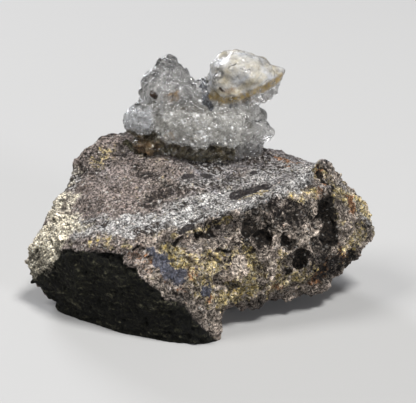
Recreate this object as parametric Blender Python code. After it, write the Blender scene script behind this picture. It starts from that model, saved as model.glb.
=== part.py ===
"""Hyalite opal on its matrix: a broken piece of volcanic tuff with a glassy, knobbly growth of
hyalite along its crest. Metres, +Z up, +Y to the back. The rock rests on a flat fracture at Z = 0."""

import math
import random

import bmesh
import bpy
from mathutils import Euler, Matrix, Vector, noise

MM = 0.001

# Driving dimensions, in millimetres.
ROCK_VOXEL = 0.6  # edge length of the rock's working mesh
ROCK_FACES = 5600  # triangles left in the finished rock
OPAL_VOXEL = 0.35
OPAL_FACES = 4100
CONTACT_GAP = 0.35  # air between the opal's underside and the rock it sits on
FOOT_LEVEL = 0.0  # height of the flat fracture that the rock rests on

# The rock is three blocks between fracture planes. Each block is the hull of its corners.
LEFT_WEDGE = (
    # toe and the keel that climbs from it to the brow
    (0.0, -19.6, -1.0), (2.6, -18.4, -1.0), (-3.0, -20.2, 4.3), (-6.3, -20.5, 7.9),
    (-9.6, -20.2, 11.0), (-13.7, -18.8, 14.2),
    # brow: front edge of the top face
    (-23.3, -13.5, 13.5), (-17.9, -17.2, 15.6), (-9.6, -16.5, 16.9), (-4.7, -14.5, 17.6),
    (4.6, -10.5, 20.7),
    # foot of the dark left face
    (-7.4, -18.8, -1.0), (-17.2, -14.2, -1.0), (-26.2, -7.4, -1.0),
    # nose
    (-28.8, -8.8, 10.1), (-32.0, -2.8, 4.0), (-32.8, -2.8, 8.6), (-30.6, -4.8, 14.8),
    # left edge up to the crest
    (-26.0, 0.0, 18.4), (-24.0, 4.0, 21.2), (-23.9, 9.0, 25.2), (-20.0, 13.0, 27.4),
    (-16.4, 14.6, 28.2), (-2.0, 16.5, 26.2), (8.0, 15.5, 25.0),
    # back
    (-27.0, 6.0, 2.5), (-24.0, 13.0, 7.0), (-19.0, 19.0, 14.0), (-5.0, 20.5, 11.0),
    (6.0, 19.0, 10.0), (-16.0, 17.0, -1.0), (2.0, 18.0, -1.0),
)
RIGHT_BLOCK = (
    # lower front edge, clear of the ground
    (3.4, -15.2, 3.6), (9.4, -11.8, 3.6), (16.6, -8.4, 2.0), (19.9, -6.4, 3.1),
    (24.3, -4.2, 5.0), (27.5, -1.0, 7.9), (31.0, 2.0, 11.6),
    # front face
    (-2.0, -14.5, 16.6), (6.8, -15.0, 13.0), (17.2, -10.6, 15.0), (9.8, -8.8, 21.8),
    (16.0, -5.4, 23.2), (21.0, -2.6, 22.8), (0.0, -12.2, 18.8), (0.0, 15.2, 25.6),
    # right end
    (30.4, 4.6, 13.4), (28.6, 6.0, 18.3), (24.6, 4.6, 22.6), (20.0, 8.5, 22.2),
    # back
    (11.8, 14.4, 25.0), (15.4, 12.4, 22.4), (14.0, 17.0, 16.0), (24.0, 13.0, 14.0),
    (27.5, 9.0, 9.0), (22.0, 12.0, 3.5), (12.0, 16.0, 2.0), (4.0, 17.5, 4.0),
    # foot, set back under the overhang
    (2.0, 2.0, -1.0), (12.5, 4.0, -1.0), (15.0, 10.5, -1.0), (4.0, 15.0, -1.0),
    (24.5, 3.5, 4.0),
)
RIDGE_HUMP = (
    (9.8, -8.8, 21.6), (16.0, -5.0, 24.1), (20.6, 1.6, 27.3), (22.8, 3.0, 26.2), (25.2, 4.2, 22.8),
    (24.0, 7.0, 19.0), (16.5, 5.0, 21.3), (12.0, -3.0, 21.0), (13.0, -8.0, 16.0), (25.0, 0.0, 17.0),
)

# Round pits where crystals or gas bubbles were, and wide hollows: centre on the surface,
# radius, depth.
PITS = {
    "void": ((21.6, -5.5, 15.9), 2.9, 3.0),
    "void_foot": ((20.7, -7.3, 13.4), 2.4, 2.2),
    "void_head": ((21.3, -4.7, 18.2), 1.9, 1.6),
    "peak_pit": ((21.1, -0.8, 23.1), 1.7, 1.5),
    "hollow": ((2.6, -15.2, 10.0), 2.2, 1.7),
    "hollow_side": ((4.6, -15.0, 9.2), 1.5, 0.9),
    "keyhole": ((-11.4, -17.2, 16.0), 1.1, 1.3),
    "edge_notch": ((-16.7, -17.5, 15.0), 1.3, 1.0),
    "right_pit": ((13.8, -11.7, 15.0), 1.7, 1.5),
    "right_pit_low": ((16.2, -10.2, 10.6), 1.9, 1.4),
    "right_pit_left": ((14.1, -11.2, 10.2), 1.4, 1.0),
    "brow_pit": ((7.1, -12.0, 17.4), 2.2, 0.9),
    "brow_pit_right": ((9.6, -12.0, 16.4), 1.9, 0.9),
    "brow_pit_low": ((7.1, -13.5, 14.6), 1.8, 0.8),
    "rim_pit": ((9.7, -7.9, 21.9), 1.3, 0.6),
    "left_waist": ((-25.4, 4.0, 20.5), 5.5, 1.6),
    "back_pit": ((-9.0, 20.0, 14.0), 2.6, 1.6),
    "back_pit_right": ((12.0, 17.5, 11.0), 2.2, 1.3),
}
# Long grooves (depth over 0) and rims (under 0): points along them, half-width, depth.
GROOVES = {
    "under_brow": (
        ((-4.7, -15.6, 16.2), (-0.5, -13.6, 17.9), (4.6, -11.8, 18.8), (9.0, -10.9, 18.8)),
        1.7,
        1.3,
    ),
    "lens_scar": (((4.5, -5.8, 21.6), (7.6, -4.8, 22.4), (10.8, -3.2, 23.0)), 1.2, 0.8),
    "brow_scar": (((-6.0, -14.8, 17.9), (-3.7, -13.3, 18.7), (-1.3, -11.3, 19.8)), 1.1, 0.7),
    "brow_rim": (
        ((-1.0, -12.6, 19.4), (5.0, -10.2, 21.2), (10.0, -8.4, 22.3), (15.5, -5.2, 23.6)),
        1.8,
        -0.5,
    ),
    "front_swell": (((-2.0, -16.8, 11.5), (6.0, -14.8, 12.0)), 3.2, -0.6),
    "left_face_step": (((-25.0, -10.0, 6.0), (-12.0, -18.0, 5.0)), 1.6, 0.5),
    "back_step": (((-20.0, 17.5, 12.0), (0.0, 20.0, 17.0), (12.0, 16.5, 19.0)), 2.0, 0.9),
}
# Where the fracture is roughest and where it is smooth: centre, radius, factor on the relief.
ROUGH_ZONES = (
    ((10.0, -13.0, 12.0), 13.0, 1.7),
    ((22.0, -4.0, 16.0), 9.0, 1.6),
    ((-6.0, 0.0, 23.0), 13.0, 0.45),
    ((-14.0, -18.0, 7.0), 9.0, 0.7),
)

# The opal is a heap of overlapping lumps: centre, then half-widths along X, Y and Z, then tilt
# about Y in degrees.
OPAL_LUMPS = {
    "knob_dome": ((6.4, 11.0, 39.5), (6.2, 5.6, 3.6), 8),
    "knob_brow": ((3.2, 10.6, 38.4), (3.4, 4.6, 3.0), -20),
    "knob_body": ((6.4, 11.0, 36.2), (5.2, 4.9, 2.9), -8),
    "knob_tip": ((12.2, 11.0, 39.3), (1.8, 2.2, 1.2), 12),
    "knob_flank": ((10.5, 10.6, 36.9), (2.5, 3.4, 3.4), 30),
    "knob_neck": ((4.6, 12.0, 33.0), (5.0, 4.4, 3.2), 0),
    "tower": ((-7.7, 12.0, 35.2), (4.7, 4.8, 4.5), 0),
    "tower_top": ((-7.3, 12.5, 38.6), (3.1, 3.2, 2.2), 0),
    "tower_cap_left": ((-8.3, 13.0, 40.3), (1.2, 1.6, 1.3), 0),
    "tower_cap_right": ((-6.7, 13.0, 40.5), (1.2, 1.5, 1.3), 0),
    "tower_shoulder": ((-4.9, 12.5, 38.2), (1.5, 2.0, 1.4), 0),
    "tower_right": ((-4.2, 12.0, 36.3), (2.0, 2.8, 2.0), 0),
    "tower_left": ((-10.5, 12.0, 37.1), (1.8, 2.6, 1.9), 0),
    "saddle": ((-1.5, 12.0, 34.0), (3.4, 4.2, 3.4), 0),
    "saddle_back": ((0.3, 14.5, 35.8), (1.9, 2.4, 1.9), 0),
    "left_lobe": ((-12.1, 7.8, 31.2), (3.4, 3.6, 2.8), -6),
    "left_shoulder": ((-9.5, 10.0, 32.0), (3.8, 4.6, 3.2), 0),
    "skirt_mid": ((-3.3, 8.6, 30.4), (6.0, 5.8, 3.7), 0),
    "skirt_right": ((3.6, 8.4, 30.4), (5.0, 5.4, 3.7), 6),
    "clear_front": ((7.7, 9.0, 28.2), (1.9, 2.2, 2.1), 0),
    "clear_side": ((10.0, 12.0, 27.8), (1.9, 2.4, 2.0), 0),
    "clear_back": ((8.9, 13.5, 30.2), (1.7, 2.4, 2.3), 0),
    "bubble_front": ((-10.4, 6.2, 26.2), (1.3, 1.4, 1.3), 0),
    "bubble_left": ((-12.2, 7.6, 27.0), (1.2, 1.4, 1.2), 0),
    "bubble_right": ((-8.4, 6.8, 26.7), (1.3, 1.4, 1.2), 0),
    "pad_left": ((-9.8, 10.4, 26.2), (4.4, 4.6, 2.3), 0),
    "pad_mid": ((-1.6, 10.8, 25.4), (7.2, 6.2, 2.3), 0),
    "pad_right": ((5.2, 11.6, 25.6), (4.8, 5.2, 2.4), 0),
    "back_foot": ((-4.0, 15.6, 28.6), (7.5, 3.0, 3.4), 0),
    "back_right": ((4.5, 15.2, 29.2), (3.8, 2.8, 3.6), 0),
}
# Drops that hang along the skirt's lower edge: the edge's two ends and the drops' radius.
SKIRT_EDGE = ((-8.4, 5.0, 28.6), (6.6, 5.2, 28.0))
SKIRT_EDGE_BULGE = 1.6  # how far the middle of the edge stands in front of its ends
SKIRT_DROPS = 12
SKIRT_DROP_RADIUS = 1.1
# Small beads all over the opal.
BEADS = 230
BEAD_RADII = (0.7, 1.4)
BEAD_SUNK = 0.45  # share of a bead's radius that its centre lies under the surface
SMOOTH_ABOVE = 38.5  # the top of the knob is smoother, and its beads are half as large
SEED = 7


def clear_scene():
    for obj in list(bpy.data.objects):
        bpy.data.objects.remove(obj, do_unlink=True)


def new_object(name, mesh):
    obj = bpy.data.objects.new(name, mesh)
    bpy.context.scene.collection.objects.link(obj)
    return obj


def mesh_of(bm, name):
    mesh = bpy.data.meshes.new(name)
    bm.to_mesh(mesh)
    bm.free()
    return mesh


def edit_mesh(obj):
    bm = bmesh.new()
    bm.from_mesh(obj.data)
    return bm


def bake_modifier(obj, kind, **settings):
    """Adds one modifier with these settings and makes its result the object's mesh."""
    modifier = obj.modifiers.new(kind.title(), kind)
    for name, value in settings.items():
        setattr(modifier, name, value)
    graph = bpy.context.evaluated_depsgraph_get()
    obj.data = bpy.data.meshes.new_from_object(obj.evaluated_get(graph))
    obj.modifiers.clear()


def islands_of(bm):
    unseen = set(bm.verts)
    while unseen:
        todo = [unseen.pop()]
        island = set(todo)
        while todo:
            for edge in todo.pop().link_edges:
                for vert in edge.verts:
                    if vert in unseen:
                        unseen.remove(vert)
                        island.add(vert)
                        todo.append(vert)
        yield island


def keep_largest_piece(obj):
    """Drops the crumbs that remeshing or a Boolean leaves beside the main body."""
    bm = edit_mesh(obj)
    islands = list(islands_of(bm))
    largest = max(islands, key=len)
    crumbs = [vert for island in islands if island is not largest for vert in island]
    bmesh.ops.delete(bm, geom=crumbs, context="VERTS")
    bm.to_mesh(obj.data)
    bm.free()


def reduce_faces(obj, wanted):
    triangles = sum(len(face.vertices) - 2 for face in obj.data.polygons)
    bake_modifier(obj, "DECIMATE", ratio=wanted / triangles, use_collapse_triangulate=True)


def hull_block(corners):
    bm = bmesh.new()
    for corner in corners:
        bm.verts.new(Vector(corner) * MM)
    hull = bmesh.ops.convex_hull(bm, input=bm.verts)
    bmesh.ops.delete(bm, geom=hull["geom_interior"], context="VERTS")
    bmesh.ops.recalc_face_normals(bm, faces=bm.faces)
    return mesh_of(bm, "block")


def distance_to_line(point, line):
    """Distance from a point to the nearest stretch of a line of points."""
    nearest = math.inf
    for start, end in zip(line, line[1:]):
        start, along = Vector(start), Vector(end) - Vector(start)
        share = min(1.0, max(0.0, (point - start).dot(along) / along.length_squared))
        nearest = min(nearest, (point - start - along * share).length)
    return nearest


def dent(distance, radius, depth):
    """A round-bottomed dent that runs out smoothly at its radius."""
    share = distance / radius
    return depth * (1 - share * share) ** 2 if share < 1 else 0.0


def roughness_at(point):
    factor = 1.0
    for centre, radius, strength in ROUGH_ZONES:
        nearness = dent((point - Vector(centre)).length, radius, 1.0)
        factor += (strength - 1.0) * nearness
    return factor


def rock_relief(point):
    """How far the rock's surface stands out at a point, all in millimetres."""
    swell = 0.8 * noise.noise(point / 8.0)
    hackle = 0.55 * noise.noise(point / 3.1) + 0.25 * noise.noise(point / 1.7)
    crag = 0.5 * (noise.ridged_multi_fractal(point / 5.2, 0.9, 2.0, 2, 0.9, 1.6) - 1.2)
    height = (swell + hackle + crag) * roughness_at(point)
    for centre, radius, depth in PITS.values():
        height -= dent((point - Vector(centre)).length, radius, depth)
    for line, half_width, depth in GROOVES.values():
        height -= dent(distance_to_line(point, line), half_width, depth)
    # The relief fades out towards the flat foot.
    return height * min(1.0, max(0.0, (point.z + 1.0) / 2.0))


def make_rock():
    bm = bmesh.new()
    for corners in (LEFT_WEDGE, RIGHT_BLOCK, RIDGE_HUMP):
        bm.from_mesh(hull_block(corners))
    rock = new_object("matrix_rock", mesh_of(bm, "matrix_rock"))
    bake_modifier(rock, "REMESH", mode="VOXEL", voxel_size=ROCK_VOXEL * MM)
    bake_modifier(rock, "SMOOTH", factor=0.5, iterations=1)
    bm = edit_mesh(rock)
    moves = [vert.normal * rock_relief(vert.co / MM) * MM for vert in bm.verts]
    for vert, move in zip(bm.verts, moves):
        vert.co += move
    bm.to_mesh(rock.data)
    bm.free()
    bake_modifier(rock, "REMESH", mode="VOXEL", voxel_size=ROCK_VOXEL * MM)
    keep_largest_piece(rock)
    reduce_faces(rock, ROCK_FACES)
    cut_foot(rock)
    return rock


def cut_foot(rock):
    """Cuts the rock off flat where it rests."""
    bm = edit_mesh(rock)
    cut = bmesh.ops.bisect_plane(
        bm,
        geom=bm.verts[:] + bm.edges[:] + bm.faces[:],
        dist=0.001 * MM,
        plane_co=(0, 0, FOOT_LEVEL * MM),
        plane_no=(0, 0, -1),
        clear_outer=True,
    )
    rim = [item for item in cut["geom_cut"] if isinstance(item, bmesh.types.BMEdge)]
    bmesh.ops.holes_fill(bm, edges=rim)
    bmesh.ops.triangulate(bm, faces=bm.faces)
    bm.to_mesh(rock.data)
    bm.free()


def add_lump(bm, centre, half_widths, tilt=0, subdivisions=3):
    place = Matrix.LocRotScale(
        Vector(centre) * MM, Euler((0, math.radians(tilt), 0)), Vector(half_widths) * MM
    )
    bmesh.ops.create_icosphere(bm, subdivisions=subdivisions, radius=1.0, matrix=place)


def add_skirt_drops(bm):
    start, end = (Vector(point) for point in SKIRT_EDGE)
    for number in range(SKIRT_DROPS):
        share = number / (SKIRT_DROPS - 1)
        centre = start.lerp(end, share)
        centre.y -= SKIRT_EDGE_BULGE * math.sin(math.pi * share)
        centre.z += 0.5 * noise.noise(centre)
        radius = SKIRT_DROP_RADIUS * (1 + 0.35 * noise.noise(centre * 0.9))
        add_lump(bm, centre, (radius, radius, radius), subdivisions=2)


def add_beads(opal):
    """Sinks small spheres into the opal's surface, more where a face is larger."""
    rng = random.Random(SEED)
    faces = opal.data.polygons
    picked = rng.choices(range(len(faces)), weights=[face.area for face in faces], k=BEADS)
    bm = edit_mesh(opal)
    for index in picked:
        face = faces[index]
        radius = rng.uniform(*BEAD_RADII)
        if face.center.z > SMOOTH_ABOVE * MM and face.center.x > 0:
            radius *= 0.5
        centre = face.center / MM - face.normal * radius * BEAD_SUNK
        add_lump(bm, centre, (radius, radius, radius), subdivisions=2)
    bm.to_mesh(opal.data)
    bm.free()


def make_opal(rock):
    bm = bmesh.new()
    for centre, half_widths, tilt in OPAL_LUMPS.values():
        add_lump(bm, centre, half_widths, tilt)
    add_skirt_drops(bm)
    opal = new_object("hyalite_opal", mesh_of(bm, "hyalite_opal"))
    bake_modifier(opal, "REMESH", mode="VOXEL", voxel_size=OPAL_VOXEL * MM)
    add_beads(opal)
    bake_modifier(opal, "REMESH", mode="VOXEL", voxel_size=OPAL_VOXEL * MM)
    bake_modifier(opal, "SMOOTH", factor=0.5, iterations=1)
    keep_largest_piece(opal)
    reduce_faces(opal, OPAL_FACES)
    sit_on(opal, rock)
    return opal


def sit_on(opal, rock):
    """Cuts the opal's underside to the rock's own surface, a small gap above it."""
    swollen = new_object("swollen_rock", rock.data.copy())
    bm = edit_mesh(swollen)
    moves = [vert.normal * CONTACT_GAP * MM for vert in bm.verts]
    for vert, move in zip(bm.verts, moves):
        vert.co += move
    bm.to_mesh(swollen.data)
    bm.free()
    bake_modifier(opal, "BOOLEAN", operation="DIFFERENCE", solver="EXACT", object=swollen)
    bpy.data.objects.remove(swollen)
    keep_largest_piece(opal)
    bm = edit_mesh(opal)
    bmesh.ops.dissolve_degenerate(bm, edges=bm.edges, dist=0.02 * MM)
    bmesh.ops.triangulate(bm, faces=bm.faces)
    bm.to_mesh(opal.data)
    bm.free()


def centre_over_origin(pieces):
    """Puts the middle of the specimen's box over the origin, seen from above."""
    corners = [vert.co for piece in pieces for vert in piece.data.vertices]
    for axis in (0, 1):
        values = [corner[axis] for corner in corners]
        for piece in pieces:
            piece.location[axis] = -(min(values) + max(values)) / 2


def give_material(obj, name, colour, roughness, **more):
    material = bpy.data.materials.new(name)
    material.use_nodes = True
    shader = material.node_tree.nodes["Principled BSDF"]
    shader.inputs["Base Color"].default_value = (*colour, 1)
    shader.inputs["Roughness"].default_value = roughness
    for socket, value in more.items():
        shader.inputs[socket.replace("_", " ")].default_value = value
    obj.data.materials.clear()
    obj.data.materials.append(material)


def main():
    clear_scene()
    rock = make_rock()
    opal = make_opal(rock)
    centre_over_origin((rock, opal))
    give_material(rock, "tuff", (0.33, 0.29, 0.26), 0.95)
    give_material(opal, "hyalite", (0.86, 0.88, 0.86), 0.1, Transmission_Weight=0.9, IOR=1.45)
    rock.data.shade_smooth()
    rock.data.set_sharp_from_angle(angle=math.radians(35))
    opal.data.shade_smooth()


main()
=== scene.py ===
# Hyalite opal on its matrix: a block of volcanic tuff with a glassy, knobbly crust along its crest.
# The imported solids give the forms. Here both get their fine surface, and their stone and glass.
import math

import bmesh
import bpy
import numpy as np
from mathutils import Euler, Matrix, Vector, noise
from mathutils.bvhtree import BVHTree


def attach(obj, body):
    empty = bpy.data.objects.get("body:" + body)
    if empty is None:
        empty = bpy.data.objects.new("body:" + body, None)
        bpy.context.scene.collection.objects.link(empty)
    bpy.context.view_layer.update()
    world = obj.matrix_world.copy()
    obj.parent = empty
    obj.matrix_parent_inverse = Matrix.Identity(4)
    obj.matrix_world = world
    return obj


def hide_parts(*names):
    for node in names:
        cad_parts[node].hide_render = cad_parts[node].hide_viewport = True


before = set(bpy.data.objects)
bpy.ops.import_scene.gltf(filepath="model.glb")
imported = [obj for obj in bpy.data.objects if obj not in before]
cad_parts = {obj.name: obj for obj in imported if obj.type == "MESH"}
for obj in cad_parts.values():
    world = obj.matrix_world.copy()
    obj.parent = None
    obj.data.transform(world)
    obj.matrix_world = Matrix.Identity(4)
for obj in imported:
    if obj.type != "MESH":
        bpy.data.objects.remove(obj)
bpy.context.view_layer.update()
mm = 0.001
noise.seed_set(3)  # vector noise otherwise starts from the clock


# Small helpers for colours, shader nodes and masks over the surface

def linear(hexColour):
    # sRGB hex to the linear colour that a shader wants
    parts = [int(hexColour[i:i + 2], 16) / 255 for i in (1, 3, 5)]
    return tuple(c / 12.92 if c <= 0.04045 else ((c + 0.055) / 1.055) ** 2.4 for c in parts) + (1,)


def perMm(size):
    # texture scale whose features are this many millimetres wide
    return 1 / (size * mm)


def addNode(tree, kind, inputs=(), output=0, **settings):
    # adds one node and gives back one of its outputs; an input that is given a socket is linked to it
    node = tree.nodes.new("ShaderNode" + kind)
    for name, value in settings.items():
        setattr(node, name, value)
    for name, value in inputs.items() if isinstance(inputs, dict) else enumerate(inputs):
        if isinstance(value, bpy.types.NodeSocket):
            tree.links.new(value, node.inputs[name])
        else:
            node.inputs[name].default_value = value
    return node.outputs[output]


def newMaterial(name):
    material = bpy.data.materials.new(name)
    material.use_nodes = True
    return material, material.node_tree, material.node_tree.nodes["Principled BSDF"]


def copyOfNode(nodeName, pieceName):
    # the CAD node's mesh with its loose triangles merged, in an object of its own
    bm = bmesh.new()
    bm.from_mesh(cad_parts[nodeName].data)
    bmesh.ops.remove_doubles(bm, verts=bm.verts, dist=0.005 * mm)
    mesh = bpy.data.meshes.new(pieceName)
    bm.to_mesh(mesh)
    bm.free()
    piece = bpy.data.objects.new(pieceName, mesh)
    bpy.context.scene.collection.objects.link(piece)
    return piece


def applyModifier(piece, kind, **settings):
    modifier = piece.modifiers.new(kind, kind)
    for name, value in settings.items():
        setattr(modifier, name, value)
    graph = bpy.context.evaluated_depsgraph_get()
    piece.data = bpy.data.meshes.new_from_object(piece.evaluated_get(graph))
    piece.modifiers.clear()


def pointsOf(piece):
    # vertex places in millimetres, and their normals
    mesh = piece.data
    points = np.empty(len(mesh.vertices) * 3, np.float32)
    mesh.vertices.foreach_get("co", points)
    normals = np.empty(len(mesh.vertices) * 3, np.float32)
    mesh.vertex_normals.foreach_get("vector", normals)
    return points.reshape(-1, 3) / mm, normals.reshape(-1, 3)


def placePoints(piece, points):
    piece.data.vertices.foreach_set("co", (points * mm).astype(np.float32).ravel())
    piece.data.update()


def storeMask(piece, name, values):
    layer = piece.data.attributes.new(name, "FLOAT", "POINT")
    layer.data.foreach_set("value", values.astype(np.float32))


def smoothStep(values, low, high):
    t = np.clip((values - low) / (high - low), 0, 1)
    return t * t * (3 - 2 * t)


def distanceTo(points, start, end):
    start, along = np.array(start), np.array(end) - np.array(start)
    share = np.clip((points - start) @ along / max(along @ along, 1e-9), 0, 1)
    return np.linalg.norm(points - start - share[:, None] * along, axis=1)


def markMask(points, marks):
    # marks are soft strokes over the surface: start, end, radius, strength
    mask = np.zeros(len(points))
    for start, end, radius, strength in marks:
        reach = distanceTo(points, start, end) / radius
        mask = np.maximum(mask, strength * (1 - smoothStep(reach, 0.45, 1.5)))
    return mask


def bandMask(points, path, radius):
    # a band as seen from the front, wherever the surface bulges or draws back
    flat = points * np.array((1, 0, 1))
    reach = [distanceTo(flat, (a[0], 0, a[2]), (b[0], 0, b[2])) for a, b in zip(path, path[1:])]
    nearBy = distanceTo(points, path[0], path[-1]) < 5
    return (1 - smoothStep(np.minimum.reduce(reach) / radius, 0.3, 1.4)) * nearBy


def soften(piece, values, rounds):
    # spreads each point's values over its neighbours, round by round
    ends = np.empty(len(piece.data.edges) * 2, np.int32)
    piece.data.edges.foreach_get("vertices", ends)
    ends = ends.reshape(-1, 2)
    ends = np.concatenate([ends, ends[:, ::-1]])
    count = np.bincount(ends[:, 0], minlength=len(values))
    for _ in range(rounds):
        around = [np.bincount(ends[:, 0], column[ends[:, 1]], len(values)) / count for column in values.T]
        values = 0.5 * values + 0.5 * np.stack(around, 1)
    return values


def eachPoint(points, function):
    return np.array([function(Vector(p)) for p in points.tolist()])


turned = Euler((0.6, 0.4, 0.9)).to_matrix()  # keeps crystal facets off the axes
noiseSpan = (0.32, 0.68)  # most of a noise texture lies between these
# about the means of a field of beads and of one of facets, taken off so that relief adds no bulk
roundMean, flatMean = 0.6, 0.55


def wander(p, *parts):
    # vector noise, each part with its size and its reach in mm
    return sum((noise.noise_vector(p / size) * reach for size, reach in parts), Vector())


def bead(p, size):
    # a field of round beads: 1 at the middle of each, 0 between them
    nearest = noise.voronoi(p / size)[0][0]
    return math.sqrt(max(0.0, 1 - (nearest / 0.72) ** 2))


def facet(p, size):
    # a field of flat-sided grains: 1 at the tip of each, falling to 0 between them
    return 1 - noise.voronoi(turned @ p / size, distance_metric="MANHATTAN")[0][0]


def pocket(p, size, share):
    # scattered round pits: only this share of the cells holds one
    distances, places = noise.voronoi(p / size)
    if noise.cell(places[0] * 31.7) * 0.5 + 0.5 > share:
        return 0.0
    return max(0.0, 1 - (distances[0] / 0.5) ** 2)


# The rock

rockShape = {
    "voxel": 0.295,
    "smoothing": 6,
    "facingRounds": 30,  # how far the facing of the surface is evened out before its faces are told apart
    # height and size of each kind of relief, in mm
    "swell": 0.45, "swellSize": 3.4,
    "crag": 0.32, "cragSize": 3.1,
    "lump": 0.34, "lumpSize": 2.6,
    "crumb": 0.5, "crumbSize": 1.15,
    "grit": 0.26, "gritSize": 0.5, "grainSize": 0.6,
    "crust": 0.46, "crustSize": 0.85,
    "pocket": 0.28, "pocketSize": 2.1, "pocketShare": 0.32,
    "streak": 0.42, "streakSize": 2.4, "streakHeight": 0.9,
    "edge": 0.9, "brow": 0.5, "edgeSize": 1.5, "fraySize": 0.7,
    "most": 0.36, "least": -0.9,
    # how much of the front's relief the other faces and the dark hollows have
    "topShare": 0.16, "shadeShare": 0.3, "darkShare": 0.7,
}
# from where to where each zone fades in: the first two lines by how the surface faces, the rest in mm
rockZones = {
    "upward": (0.4, 0.8), "shade": (0.60, 0.78), "edge": (0.1, 0.55), "edgeEnd": (0.75, 0.97),
    "frontFacing": (0.2, 0.6), "sideFacing": (0.3, 0.7),
    "frontStart": (-13, -7), "shadeEnd": (0.5, 3), "browStart": (-8, -2), "grey": (-9, 3),
    "low": (1.5, 7), "behind": (-2, 4),
    "foot": (0.02, 0.6),  # the lowest stretch keeps the plain fracture that it rests on
    "nearOpal": (0.5, 2.0),
}
shadeDirection = Vector((-0.52, -0.78, -0.35)).normalized()
cragRidges = (0.8, 2.2, 4, 0.9, 1.9)  # how much finer ridges count, how much finer, octaves, offset, gain

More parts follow.
